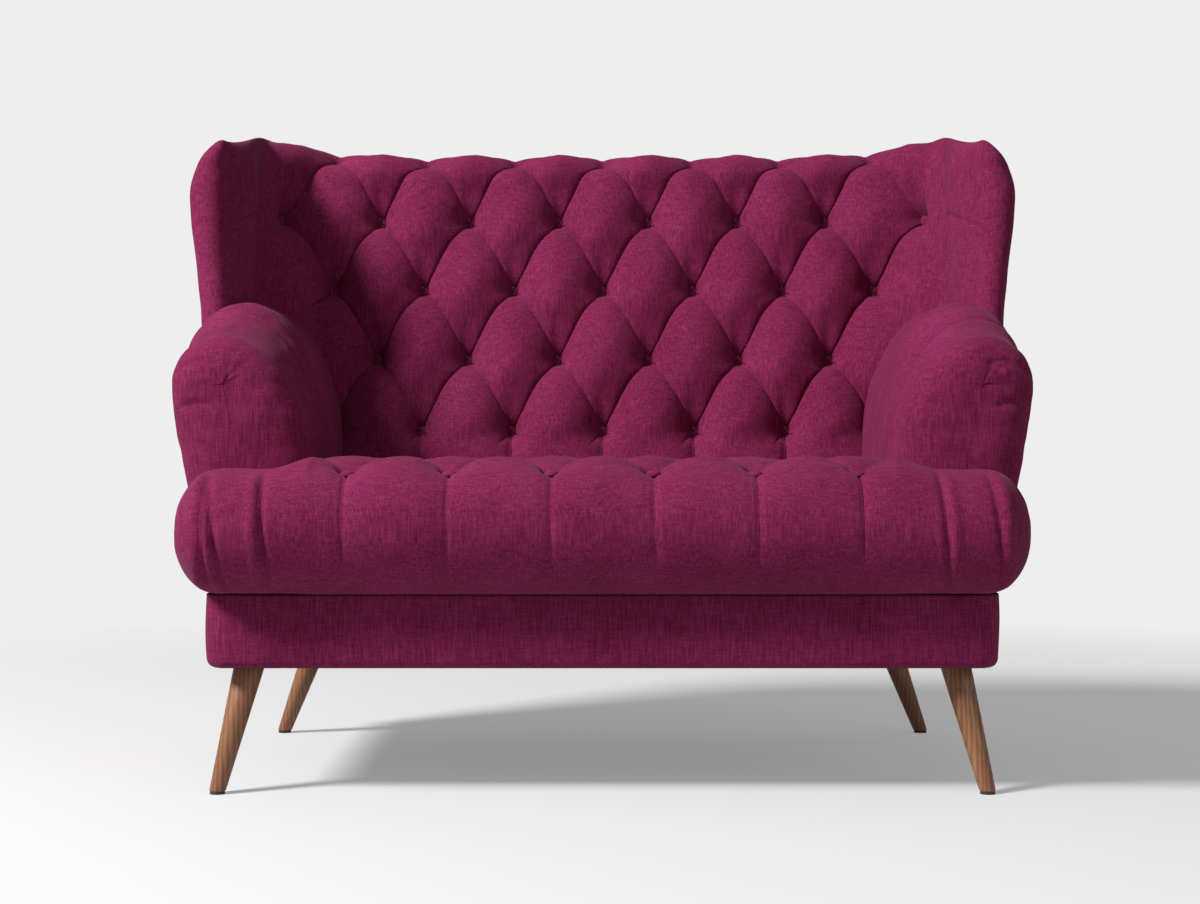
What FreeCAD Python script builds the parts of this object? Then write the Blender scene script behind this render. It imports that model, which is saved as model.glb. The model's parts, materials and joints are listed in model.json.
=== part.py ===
import FreeCAD, Part
import Sketcher
import math
import os

# Two seat sofa with a deep buttoned diamond back, smooth wings, rolled arms, a buttoned seat whose bolster
# front wraps round in front of the arms, an upholstered base band and four splayed walnut legs.
# Millimetres. +X is the sofa's width, the front faces -Y, +Z is up. The origin is on the floor, in the
# middle of the sofa's width and depth. "left" and "right" are as seen from the front.

Vector = FreeCAD.Vector
doc = FreeCAD.newDocument("ButtonedSofa")
sheet = doc.addObject("Spreadsheet::Sheet", "Dim")

SIZES = {
    # legs
    "leg_height": 184.0,
    "glide_thick": 4.0,
    "foot_diameter": 24.0,
    "leg_top_diameter": 46.0,
    "foot_half_span": 562.0,
    "front_leg_top_x": 522.0,
    "rear_leg_top_x": 492.0,
    "front_leg_y": 284.0,
    "rear_leg_y": 298.0,
    "front_foot_reach": 44.0,
    "rear_foot_reach": 34.0,
    "bolt_diameter": 8.0,
    "bolt_in_leg": 34.0,
    "bolt_in_block": 44.0,
    "plate_width": 62.0,
    "plate_thick": 3.0,
    "screw_diameter": 5.0,
    "screw_length": 20.0,
    # base frame
    "base_half_width": 580.0,
    "base_front": 345.0,
    "base_rear": 362.0,
    "base_height": 108.0,
    "band_thick": 14.0,
    "rail_thick": 28.0,
    "brace_width": 44.0,
    "brace_height": 70.0,
    "block_leg": 118.0,
    "block_height": 64.0,
    "dust_thick": 1.2,
    "webbing_thick": 1.5,
    "webbing_width": 62.0,
    "webbing_pitch": 112.0,
    # seat
    "seat_front": 430.0,
    "seat_height": 489.0,
    "seat_end_drop": 16.0,
    "bolster_half_width": 621.0,
    "bolster_round": 62.0,
    "seat_skin": 26.0,
    "seat_pitch": 148.0,
    "seat_button_y": 352.0,
    "seat_row_step": 132.0,
    "seat_groove": 11.0,
    "seat_channel": 7.0,
    # arms
    "arm_front": 270.0,
    "arm_inner": 440.0,
    "arm_outer": 650.0,
    "arm_base_half": 596.0,
    "arm_height": 675.0,
    "arm_rise": 64.0,
    "arm_roll": 78.0,
    "arm_skin": 14.0,
    "arm_dome": 10.0,
    "arm_board": 22.0,
    "arm_rail_height": 60.0,
    # back
    "back_face_y": 170.0,
    "back_rake": 15.3,
    "back_top_thick": 131.15,
    "back_rear_rake": 5.8,
    "back_height": 1021.0,
    "roll_height": 61.0,
    "back_half_width": 566.0,
    "back_pad": 48.0,
    "outside_thick": 8.0,
    "post_width": 42.0,
    "post_depth": 44.0,
    "top_rail_height": 90.0,
    "lower_rail_height": 60.0,
    # tufts of the back
    "tuft_pitch": 156.0,
    "tuft_row": 126.5,
    "tuft_first_height": 909.0,
    "tuft_groove": 24.0,
    "button_diameter": 20.0,
    "button_thick": 9.0,
    "button_sink": 16.0,
    "seat_button_sink": 16.0,
    "twine_diameter": 2.4,
    "twine_in_seat": 96.0,
    # wings
    "wing_spread": 107.0,
    "wing_foot_spread": 74.0,
    "wing_reach": 284.85,
    "wing_nose_radius": 30.5,
    "wing_nose_drop": 24.0,
    "wing_saddle": 49.0,
    "wing_board": 18.0,
    "wing_board_reach": 230.0,
    "wing_flare": 8.0,
    # fits
    "clearance": 0.3,
}
for row, (alias, value) in enumerate(SIZES.items(), 1):
    sheet.set("A%d" % row, alias)
    sheet.set("B%d" % row, str(value))
    sheet.setAlias("B%d" % row, alias)
doc.recompute()


def size(alias):
    """The value of a driving dimension, read from the sheet."""
    return float(sheet.get(alias))


def value_of(expression):
    """The number that an expression on the sheet has now."""
    result = sheet.evalExpression(expression)
    return float(getattr(result, "Value", result))


# Places worked out from the driving dimensions and used by several pieces
clear = size("clearance")
leg_height = size("leg_height")
rail_top = leg_height + size("base_height") - size("webbing_thick")
pad_floor = leg_height + size("base_height") + clear
rake = math.tan(math.radians(size("back_rake")))
rear_rake = math.tan(math.radians(size("back_rear_rake")))
back_height = size("back_height")
roll_start = back_height - size("roll_height")
back_half = size("back_half_width")
arm_inner = size("arm_inner")
arm_front = size("arm_front")
wing_waist = size("arm_height") + size("arm_rise")
wing_foot = wing_waist - size("wing_saddle")
wing_half = back_half + size("wing_spread")
wing_foot_half = back_half + size("wing_foot_spread")


def face_y(z):
    """Depth of the plane that the crowns of the back's diamonds touch, at height z."""
    return size("back_face_y") + (z - size("seat_height")) * rake


rear_top = face_y(roll_start) + size("back_top_thick")
wing_nose_y = face_y(roll_start) - size("wing_reach")


def rear_y(z):
    """Depth of the outside back's plane at height z."""
    return rear_top - (roll_start - z) * rear_rake


def frame_y(z):
    """Depth of the front of the back frame at height z."""
    return rear_y(z) - size("outside_thick") - clear - size("post_depth")


def roll_share(z):
    """How much of the half thickness is left at height z, where the top of the back and wings rounds over."""
    if z <= roll_start:
        return 1.0
    return math.sqrt(max(0.0, 1.0 - ((z - roll_start) / size("roll_height")) ** 2))


def bind(piece, **expressions):
    """Ties properties of a piece to expressions on the sheet."""
    for name, expression in expressions.items():
        piece.setExpression(name.replace("_at_", ".Base.").replace("Placement_turn", "Placement.Rotation.Angle"),
                            expression)
    return piece


sub_parts = []


def added(kind, name):
    """A new sub-part of the document, labelled with the name of its file."""
    piece = doc.addObject(kind, name)
    piece.Label = name
    sub_parts.append(piece)
    return piece


def board(name, length, width, height, x, y, z):
    """A straight board along the axes, its three sizes and its corner bound to the sheet."""
    piece = added("Part::Box", name)
    return bind(piece, Length=length, Width=width, Height=height,
                Placement_at_x=x, Placement_at_y=y, Placement_at_z=z)


def wedge(name, x_from, x_to, low, high, front, rear):
    """A board that leans: it runs from height low to high, and front and rear give its faces' depth at a height."""
    piece = added("Part::Wedge", name)
    piece.Placement.Rotation = FreeCAD.Rotation(Vector(1, 0, 0), 90)
    return bind(piece, Xmin=x_from, Xmax=x_to, X2min=x_from, X2max=x_to, Ymin=low, Ymax=high,
                Zmin="-" + rear(low), Zmax="-" + front(low), Z2min="-" + rear(high), Z2max="-" + front(high))


def made(name, shape):
    """A sub-part whose form only Part's own functions can give."""
    piece = added("Part::Feature", name)
    piece.Shape = shape
    return piece


def mirrored(shape):
    """The same form on the other side of the sofa."""
    return shape.mirror(Vector(0, 0, 0), Vector(1, 0, 0))


def arc(first, middle, last):
    return Part.Arc(first, middle, last).toShape()


def line(first, last):
    return Part.LineSegment(first, last).toShape()


def prism_x(points, x_from, x_to):
    """A block along X whose (y, z) outline is the given corners."""
    corners = [Vector(x_from, y, z) for y, z in points]
    face = Part.Face(Part.makePolygon(corners + corners[:1]))
    return face.extrude(Vector(x_to - x_from, 0, 0))



# Base frame of hardwood rails
inner_half = "(Dim.base_half_width - Dim.band_thick - Dim.clearance)"
frame_front = "(-Dim.base_front + Dim.band_thick + Dim.clearance)"
frame_rear = "(Dim.base_rear - Dim.band_thick - Dim.clearance)"
rail_height = "(Dim.base_height - Dim.webbing_thick)"
board("front_seat_rail", "2 * %s" % inner_half, "Dim.rail_thick", rail_height,
      "-" + inner_half, frame_front, "Dim.leg_height")
board("rear_seat_rail", "2 * %s" % inner_half, "Dim.rail_thick", rail_height,
      "-" + inner_half, "%s - Dim.rail_thick" % frame_rear, "Dim.leg_height")
side_length = "%s - %s - 2 * Dim.rail_thick" % (frame_rear, frame_front)
for side, place in (("left", "-" + inner_half), ("right", "%s - Dim.rail_thick" % inner_half)):
    board(side + "_seat_rail", "Dim.rail_thick", side_length, rail_height,
          place, "%s + Dim.rail_thick" % frame_front, "Dim.leg_height")
board("centre_seat_brace", "Dim.brace_width", side_length, "Dim.brace_height",
      "-Dim.brace_width / 2", "%s + Dim.rail_thick" % frame_front, "Dim.leg_height")


def rod(radius, length, place, direction, sides=4):
    """A thin rod as a prism, for twine, screws and the holes that they take."""
    turn = FreeCAD.Rotation(Vector(0, 0, 1), direction)
    ring = [place + turn.multVec(Vector(radius * math.cos(2 * math.pi * step / sides),
                                        radius * math.sin(2 * math.pi * step / sides), 0))
            for step in range(sides)]
    reach = Vector(direction).normalize() * length
    return Part.Face(Part.makePolygon(ring + ring[:1])).extrude(reach)


def corner_places():
    """Inner corner of the frame at each leg, with the directions that point into the frame."""
    half = size("base_half_width") - size("band_thick") - clear - size("rail_thick")
    front = -size("base_front") + size("band_thick") + clear + size("rail_thick")
    rear = size("base_rear") - size("band_thick") - clear - size("rail_thick")
    for side, across in (("left", -1), ("right", 1)):
        yield "front_" + side, Vector(across * half, front, 0), -across, 1
        yield "rear_" + side, Vector(across * half, rear, 0), -across, -1


def leg_top(name):
    """Centre of a leg's top, where its bolt goes up into the corner block."""
    end, side = name.split("_")
    across = 1 if side == "right" else -1
    depth = -size("front_leg_y") if end == "front" else size("rear_leg_y")
    return Vector(across * size(end + "_leg_top_x"), depth, leg_height)


def bolt(name, radius):
    """The hanger bolt of one leg as a plain shank, or the hole for it."""
    start = leg_top(name) - Vector(0, 0, size("bolt_in_leg"))
    return rod(radius, size("bolt_in_leg") + size("bolt_in_block"), start, Vector(0, 0, 1), 12)


# Triangular glue blocks in the four corners, bored for the leg bolts, above the steel leg plates
blocks = []
plates = []
screws = []
bolts = []
hole_radius = size("bolt_diameter") / 2 + clear
for name, corner, across, along in corner_places():
    leg = size("block_leg")
    base = corner + Vector(0, 0, leg_height + size("plate_thick"))
    points = [base, base + Vector(across * leg, 0, 0), base + Vector(0, along * leg, 0), base]
    block = Part.Face(Part.makePolygon(points)).extrude(Vector(0, 0, size("block_height")))
    width = size("plate_width")
    plate = Part.makeBox(width, width, size("plate_thick"),
                         corner + Vector(0 if across > 0 else -width, 0 if along > 0 else -width, leg_height))
    margin = 1.8 * size("screw_diameter")
    holes = [bolt(name, hole_radius)]
    for u, v in ((margin, width - margin), (width - margin, margin), (margin * 0.8, margin * 0.8)):
        place = corner + Vector(across * u, along * v, leg_height)
        screws.append(rod(size("screw_diameter") / 2, size("screw_length"), place, Vector(0, 0, 1)))
        holes.append(rod(size("screw_diameter") / 2 + clear, size("screw_length"), place, Vector(0, 0, 1)))
    blocks.append(block.cut(holes))
    plates.append(plate.cut(holes))
    bolts.append(bolt(name, size("bolt_diameter") / 2))
made("corner_blocks", Part.makeCompound(blocks))
made("leg_plates", Part.makeCompound(plates))
made("plate_screws", Part.makeCompound(screws))
made("leg_bolts", Part.makeCompound(bolts))


def ring(centre, radius, sides):
    """Corners of a many sided ring, level round a centre."""
    turn = 2 * math.pi / sides
    return [centre + Vector(radius * math.cos(index * turn), radius * math.sin(index * turn), 0)
            for index in range(sides)]


def faceted(rings):
    """A closed solid through rings of corners one after another, with flat facets."""
    faces = [Part.Face(Part.makePolygon(ends + ends[:1])) for ends in (rings[0], rings[-1])]
    for lower, upper in zip(rings, rings[1:]):
        for index in range(len(lower)):
            after = (index + 1) % len(lower)
            corners = [lower[index], lower[after], upper[after], upper[index]]
            normal = (corners[1] - corners[0]).cross(corners[3] - corners[0])
            if abs(normal.normalize().dot(corners[2] - corners[0])) < 1e-6:
                loops = [corners]
            else:
                loops = [corners[:3], [corners[0]] + corners[2:]]
            faces += [Part.Face(Part.makePolygon(loop + loop[:1])) for loop in loops]
    solid = Part.makeSolid(Part.makeShell(faces))
    solid.fixTolerance(1e-5)
    if solid.Volume < 0:
        solid.reverse()
    return solid


def leg(name):
    """A turned leg that tapers to its foot, splayed sideways and a little forward or back, with level ends."""
    end, side = name.split("_")
    across = 1 if side == "right" else -1
    reach = -size("front_foot_reach") if end == "front" else size("rear_foot_reach")
    top = leg_top(name)
    foot = Vector(across * size("foot_half_span"), top.y + reach, size("glide_thick"))
    taper = faceted([ring(foot, size("foot_diameter") / 2, 24), ring(top, size("leg_top_diameter") / 2, 24)])
    made(name + "_leg", taper.cut(bolt(name, size("bolt_diameter") / 2 + clear)))
    return foot


# Four walnut legs, each on a plastic glide
glides = []
for name, corner, across, along in corner_places():
    foot = leg(name)
    glides.append(rod(size("foot_diameter") / 2 - 1, size("glide_thick"), Vector(foot.x, foot.y, 0),
                      Vector(0, 0, 1), 20))
made("leg_glides", Part.makeCompound(glides))

# Base band: fabric over thin wadding, stretched round the frame, with soft corners and a turned under edge
band_height = size("base_height")
outer = Part.makeBox(2 * size("base_half_width"), size("base_front") + size("base_rear"), band_height,
                     Vector(-size("base_half_width"), -size("base_front"), leg_height))
upright = [edge for edge in outer.Edges if abs(edge.tangentAt(edge.FirstParameter).z) > 0.9]
outer = outer.makeFillet(2.4 * size("band_thick"), upright)
under = [edge for edge in outer.Edges if edge.BoundBox.ZMax < leg_height + 0.01]
outer = outer.makeFillet(0.9 * size("band_thick"), under)
half = size("base_half_width") - size("band_thick")
core = Part.makeBox(2 * half, size("base_front") + size("base_rear") - 2 * size("band_thick"), band_height,
                    Vector(-half, -size("base_front") + size("band_thick"), leg_height))
made("base_band", outer.cut(core))

# Dust cover of black cloth, stapled under the rails and cut out round the legs
edge = size("band_thick") + 6
dust = Part.makeBox(2 * (size("base_half_width") - edge), size("base_front") + size("base_rear") - 2 * edge,
                    size("dust_thick"), Vector(-size("base_half_width") + edge, -size("base_front") + edge,
                                               leg_height - size("dust_thick")))
leg_holes = [rod(size("leg_top_diameter") / 2 + 2, 2 * size("dust_thick"),
                 leg_top(name) - Vector(0, 0, 1.5 * size("dust_thick")), Vector(0, 0, 1), 12)
             for name, corner, across, along in corner_places()]
made("dust_cover", dust.cut(leg_holes))

# Webbing of the seat: straps over the rails both ways, the cross straps lying on the long ones
strap_front = -size("base_front") + size("band_thick") + clear + 4
strap_rear = size("base_rear") - size("band_thick") - clear - 4
strap_half = half - clear - 4
pitch = size("webbing_pitch")
strap_width = size("webbing_width")
layer = size("webbing_thick") / 2
long_count = int(2 * (strap_half - strap_width) / pitch) + 1
long_straps = [Part.makeBox(strap_width, strap_rear - strap_front, layer,
                            Vector((index - (long_count - 1) / 2) * pitch - strap_width / 2, strap_front, rail_top))
               for index in range(long_count)]
made("seat_long_straps", Part.makeCompound(long_straps))
stump_rear = -arm_front + size("arm_skin") + size("arm_dome") + size("arm_board")
cross_room = frame_y(rail_top) - stump_rear - strap_width - 8
cross_count = int(cross_room / pitch) + 1
middle = (frame_y(rail_top) + stump_rear) / 2
cross_straps = [Part.makeBox(2 * strap_half, strap_width, layer,
                             Vector(-strap_half, middle + (index - (cross_count - 1) / 2) * pitch - strap_width / 2,
                                    rail_top + layer))
                for index in range(cross_count)]
made("seat_cross_straps", Part.makeCompound(cross_straps))

# Back frame, leaning with the outside back
frame_top = roll_start - clear
roll_from = "(Dim.back_height - Dim.roll_height)"
rear_from = ("(Dim.back_face_y + (%s - Dim.seat_height) * tan(Dim.back_rake * 1 deg) + Dim.back_top_thick)"
             % roll_from)


def frame_front(height):
    """The expression for the depth of the back frame's front at the height that another expression gives."""
    return ("(%s - (%s - (%s)) * tan(Dim.back_rear_rake * 1 deg) - Dim.outside_thick - Dim.clearance"
            " - Dim.post_depth)" % (rear_from, roll_from, height))


def frame_back(height):
    return "(%s + Dim.post_depth)" % frame_front(height)


rails_top = "(Dim.leg_height + Dim.base_height - Dim.webbing_thick)"
posts_top = "(%s - Dim.clearance)" % roll_from
post_inner = "(Dim.back_half_width - Dim.post_width)"
rail_low = "(%s + Dim.lower_rail_height)" % rails_top
rail_high = "(%s + Dim.lower_rail_height)" % rail_low
top_rail_low = "(%s - Dim.top_rail_height)" % posts_top
post_out = back_half
post_in = post_out - size("post_width")
lower_from = value_of(rail_low)
for name, from_x, to_x, low, high in (
        ("right_back_post", post_inner, "Dim.back_half_width", rails_top, posts_top),
        ("left_back_post", "-Dim.back_half_width", "-" + post_inner, rails_top, posts_top),
        ("back_top_rail", "-" + post_inner, post_inner, top_rail_low, posts_top),
        ("back_lower_rail", "-" + post_inner, post_inner, rail_low, rail_high),
        ("back_centre_stile", "-Dim.post_width / 2", "Dim.post_width / 2", rail_high, top_rail_low)):
    wedge(name, from_x, to_x, low, high, frame_front, frame_back)
doc.recompute()
post = doc.getObject("right_back_post").Shape.copy()


def strap_y(z):
    """Depth of the front of the back's webbing at height z."""
    return frame_y(z) - size("webbing_thick")


back_straps = []
strap_count = int((frame_top - lower_from - strap_width) / pitch)
for index in range(strap_count):
    low = lower_from + (index + 0.3) * pitch
    high = low + strap_width
    back_straps.append(prism_x([(strap_y(low), low), (frame_y(low), low), (frame_y(high), high),
                                (strap_y(high), high)], -post_out, post_out))
made("back_straps", Part.makeCompound(back_straps))


def back_block(gap):
    """The space of the back pad and everything behind it, grown forward by a gap, for trimming the neighbours."""
    low, high = 0.0, back_height + 100.0
    reach = 700.0
    return prism_x([(face_y(low) - gap, low), (reach, low), (reach, high), (face_y(high) - gap, high)],
                   -back_half - gap, back_half + gap)


def behind_rear(gap):
    """Everything behind the plane where the outside back lies."""
    low, high = 0.0, back_height + 100.0
    reach = 900.0
    inset = size("outside_thick") + gap
    return prism_x([(rear_y(low) - inset, low), (reach, low), (reach, high), (rear_y(high) - inset, high)],
                   -reach, reach)


# Back pad: the buttoned cover with its wadding, rolled over the top rail to the outside back
def roll_y(z, front):
    """Depth of the front or the rear of the rounded top at height z."""
    middle = (face_y(roll_start) + rear_y(roll_start)) / 2
    half_depth = (rear_y(roll_start) - face_y(roll_start)) / 2
    return middle + (-1 if front else 1) * half_depth * roll_share(z)


def back_profile():
    """Outline of the pad in depth and height: leaning face, rounded top, and the hook over the top rail."""
    x = -back_half
    low = pad_floor
    top_mid = (face_y(roll_start) + rear_y(roll_start)) / 2
    shoulder = roll_start + size("roll_height") * math.sqrt(0.5)
    points = [Vector(x, face_y(low), low), Vector(x, face_y(roll_start), roll_start),
              Vector(x, roll_y(shoulder, True), shoulder), Vector(x, top_mid, back_height),
              Vector(x, roll_y(shoulder, False), shoulder), Vector(x, rear_y(roll_start), roll_start),
              Vector(x, face_y(roll_start) + size("back_pad"), roll_start),
              Vector(x, face_y(low) + size("back_pad"), low)]
    edges = [line(points[0], points[1]), arc(points[1], points[2], points[3]), arc(points[3], points[4], points[5]),
             line(points[5], points[6]), line(points[6], points[7]), line(points[7], points[0])]
    return Part.Face(Part.Wire(edges))


plane_origin = Vector(0, face_y(size("tuft_first_height")), size("tuft_first_height"))
up_plane = Vector(0, rake, 1).normalize()
into_pad = Vector(0, 1, -rake).normalize()
sideways = Vector(1, 0, 0)


def on_back(u, rows):
    """A point of the back's plane, u across and a number of rows up from the top row of buttons."""
    return plane_origin + sideways * u + up_plane * (rows * size("tuft_row"))


def valley(place, along, normal_in, wide, deep, rim_height):
    """Cutter outline across a pleat: two arcs that meet in the pleat and run out level on the crowns."""
    across = along.cross(normal_in).normalize()
    rim = -normal_in * rim_height
    bow = (wide * wide + deep * deep) / (2 * deep)
    ends = []
    for hand in (-1, 1):
        edge = place + across * (hand * wide)
        turn = 0.5 * math.asin(min(1.0, wide / bow))
        middle = edge + normal_in * (bow * (1 - math.cos(turn))) - across * (hand * bow * math.sin(turn))
        ends.append((edge, middle))
    bottom = place + normal_in * deep
    corners = [ends[0][0] + rim, ends[0][0], bottom, ends[1][0], ends[1][0] + rim]
    return Part.Wire([line(corners[0], corners[1]), arc(corners[1], ends[0][1], bottom),
                      arc(bottom, ends[1][1], corners[3]), line(corners[3], corners[4]),
                      line(corners[4], corners[0])])


def notch(place, along, normal_in, wide, deep, rim_height):
    """Cutter outline across a shallow pleat: two straight flanks that meet in the pleat."""
    across = along.cross(normal_in).normalize()
    rim = -normal_in * rim_height
    edges = [place - across * wide, place + across * wide]
    corners = [edges[0] + rim, edges[0], place + normal_in * deep, edges[1], edges[1] + rim]
    return Part.makePolygon(corners + corners[:1])


def tuft_rows():
    """Across places of the buttons in each row, top row first: eight, seven, six and seven of them."""
    pitch = size("tuft_pitch")
    return [[(index - (count - 1) / 2) * pitch for index in range(count)] for count in (8, 7, 6, 7)]


def back_cutters():
    """One straight cutter along each diagonal of the diamonds, from its lowest button or the fold over the top."""
    pitch = size("tuft_pitch")
    slope = math.atan2(size("tuft_row"), pitch / 2)
    half_width = 0.5 * pitch * math.sin(slope) - 1.5
    cutters = []
    for start in tuft_rows()[0]:
        for hand in (-1, 1):
            rows_down = min(6.0, 2 * (back_half + half_width + hand * start) / pitch)
            low = on_back(start - hand * rows_down * pitch / 2, -rows_down)
            high = on_back(start + hand * pitch / 2, 1.0)
            profile = valley(low, (high - low).normalize(), into_pad, half_width, size("tuft_groove"), 6.0)
            cutters.append(Part.Face(profile).extrude(high - low))
    return cutters


def grown(shape):
    """The room that a board takes in the padding round it."""
    box = shape.BoundBox
    centre = box.Center
    stretch = FreeCAD.Matrix()
    stretch.scale(1 + 2 * clear / box.XLength, 1 + 2 * clear / box.YLength, 1 + 2 * clear / box.ZLength)
    moved = shape.copy()
    moved.translate(-centre)
    moved = moved.transformGeometry(stretch)
    moved.translate(centre)
    return moved


def arm_outline(y, rise, inset, low):
    """Corners of an arm's outline across the sofa: straight inside, a roll on top, an outside that slopes in."""
    inner = arm_inner + clear + inset
    radius = size("arm_roll") - 0.4 * inset
    centre_x = size("arm_outer") - inset - radius
    centre_z = size("arm_height") + rise - inset - radius
    straight = 0.961 * size("seat_height") + 0.3 * rise
    corners = [(size("arm_base_half") - inset, low), (inner, low)]
    for turn in range(0, 90, 18):
        corners.append((centre_x - (centre_x - inner) * math.cos(math.radians(turn)),
                        straight + (centre_z + radius - straight) * math.sin(math.radians(turn))))
    for turn in range(90, -55, -18):
        corners.append((centre_x + radius * math.cos(math.radians(turn)),
                        centre_z + radius * math.sin(math.radians(turn))))
    return [Vector(x, y, z) for x, z in corners]


def arm_body(inset, low, dome=0.0):
    """The arm: its outline climbs from a front with a soft rim to the wing, then runs level."""
    front = -arm_front + inset
    knee = wing_nose_y - 30
    rise = size("arm_rise")
    sections = [(front + dome, 0, inset), (knee, rise, inset), (rear_top, rise, inset)]
    if dome:
        sections = [(front, 0, inset + dome), (front + 0.3 * dome, 0, inset + 0.3 * dome)] + sections
    return faceted([arm_outline(y, climb, skin, low) for y, climb, skin in sections])


# Arm frames: a front board cut to the arm's outline, a top rail and a tack rail
stump_inset = size("arm_skin") + 2 * size("arm_dome")
stump = arm_outline(stump_rear - size("arm_board"), 0, stump_inset, rail_top)
stump = Part.Face(Part.makePolygon(stump + stump[:1]))
stump = stump.extrude(Vector(0, size("arm_board"), 0))
made("right_arm_front_board", stump)
made("left_arm_front_board", mirrored(stump))


def stump_back(height):
    """The depth where the arm's rails meet the front board, the same at every height."""
    return "(-Dim.arm_front + Dim.arm_skin + Dim.arm_dome + Dim.arm_board)"


rails = []
for name, low in (("arm_top_rail", "(Dim.arm_height - Dim.arm_roll - Dim.arm_rail_height / 2)"),
                  ("arm_tack_rail", "(%s + Dim.rail_thick)" % rails_top)):
    high = "(%s + Dim.arm_rail_height)" % low
    inside = "(%s + Dim.arm_board)" % post_inner
    wedge("right_" + name, post_inner, inside, low, high, stump_back, frame_front)
    wedge("left_" + name, "-" + inside, "-" + post_inner, low, high, stump_back, frame_front)
    doc.recompute()
    rails.append(doc.getObject("right_" + name).Shape.copy())

# Arm covers over their foam, butting against the back
back_room = back_block(clear)
rear_room = behind_rear(clear)
arm_core = arm_body(size("arm_skin"), pad_floor - 1).cut([back_room, rear_room])
arm_cover = arm_body(0.0, pad_floor, size("arm_dome")).cut([back_room, rear_room, arm_core])
shrunk = arm_body(size("arm_skin") + clear, pad_floor)
arm_foam = shrunk.cut([back_room, rear_room] + [grown(board_shape) for board_shape in [stump, post] + rails])
for name, shape in (("arm_cover", arm_cover), ("arm_foam", arm_foam)):
    made("right_" + name, shape)
    made("left_" + name, mirrored(shape))


def wing_outline(z):
    """Corners of the right wing seen from above at height z: fold, flared inside, round nose and outside."""
    spread = min(1.0, max(0.0, (z - wing_waist) / (roll_start - wing_waist)))
    outer = wing_foot_half + (wing_half - wing_foot_half) * spread
    radius = size("wing_nose_radius")
    low = min(z, roll_start)
    nose_y = wing_nose_y - (roll_start - low) * rake
    centre = Vector(outer - radius, nose_y + radius, z)
    side = back_half + clear
    rear = rear_y(low)
    middle = (face_y(low) + rear) / 2
    share = roll_share(z)
    tilt = size("wing_nose_drop") * (1 - share) / (middle - nose_y)
    corners = [Vector(side, middle + (rear - middle) * share, z), Vector(side, middle - (middle - face_y(low)) * share, z)]
    for turn in range(180, -1, -20):
        reach = Vector(math.cos(math.radians(turn)), -math.sin(math.radians(turn)), 0)
        corners.append(centre + reach * (radius * share))
    corners.append(Vector(centre.x + radius * share, middle, z))
    corners.append(Vector(centre.x + radius * share, middle + (rear - middle) * share, z))
    return [corner + Vector(0, 0, tilt * (corner.y - middle)) for corner in corners]


# Wings: a board on each back post inside a pad that widens to its round top, saddled on the arm's roll
levels = [wing_foot, wing_waist, roll_start]
levels += [roll_start + share * size("roll_height") for share in (0.4, 0.72, 0.92, 0.99)]
wing = faceted([wing_outline(level) for level in levels]).cut(rear_room)
wing_board = Part.makeBox(size("wing_board"), size("wing_board_reach"), roll_start - wing_waist)
wing_board.translate(Vector(0, -size("wing_board_reach"), 0))
wing_board.rotate(Vector(0, 0, 0), Vector(0, 0, 1), size("wing_flare"))
wing_board.translate(Vector(post_out, frame_y(wing_waist) + 0.7 * size("post_depth"), wing_waist + 4 * clear))
wing = wing.cut([grown(wing_board), grown(post), arm_body(-clear, pad_floor)])
for name, shape in (("wing_board", wing_board), ("wing_pad", wing)):
    made("right_" + name, shape)
    made("left_" + name, mirrored(shape))


def button(radius, height):
    """A covered button: a flat base under a low dome in facets."""
    return faceted([ring(Vector(0, 0, level * height), share * radius, 10)
                    for share, level in ((1.0, 0.0), (0.94, 0.45), (0.5, 1.0))])


def stood(shape, place, outward):
    """A shape made along +Z, moved to a place and turned to point outward."""
    moved = shape.copy()
    moved.Placement = FreeCAD.Placement(place, FreeCAD.Rotation(Vector(0, 0, 1), outward))
    return moved


button_radius = size("button_diameter") / 2
cap = button(button_radius, size("button_thick"))
twine_radius = size("twine_diameter") / 2

# Back pad, buttons and the twine that ties each button through to the webbing
back_buttons = []
back_ties = []
tie_holes = []
for place in [on_back(u, -index) for index, row in enumerate(tuft_rows()) for u in row]:
    seat_of_button = place + into_pad * size("button_sink")
    depth = frame_y(place.z) - seat_of_button.y - 1.5
    back_buttons.append(stood(cap, seat_of_button, -into_pad))
    tie_holes.append(rod(twine_radius + clear, depth + 9, seat_of_button, into_pad))
    back_ties.append(rod(twine_radius, depth, seat_of_button + into_pad * clear, into_pad))
notches = [grown(shape) for shape in rails]
notches += [mirrored(shape) for shape in notches]
pad = back_profile().extrude(Vector(2 * back_half, 0, 0))
made("back_inside_cover", pad.cut(back_cutters() + tie_holes + notches))
made("back_buttons", Part.makeCompound(back_buttons))
made("back_button_ties", Part.makeCompound(back_ties))
foam_high = frame_top - clear
foam = prism_x([(face_y(pad_floor) + size("back_pad") + clear, pad_floor), (strap_y(pad_floor) - clear, pad_floor),
                (strap_y(foam_high) - clear, foam_high), (face_y(foam_high) + size("back_pad") + clear, foam_high)],
               -back_half, back_half)
made("back_foam", foam.cut(tie_holes + notches))

# Outside back: a flat padded panel with round top corners between the arms' and wings' rear edges
def on_rear(x, z):
    return Vector(x, rear_y(z) - size("outside_thick"), z)


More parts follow.
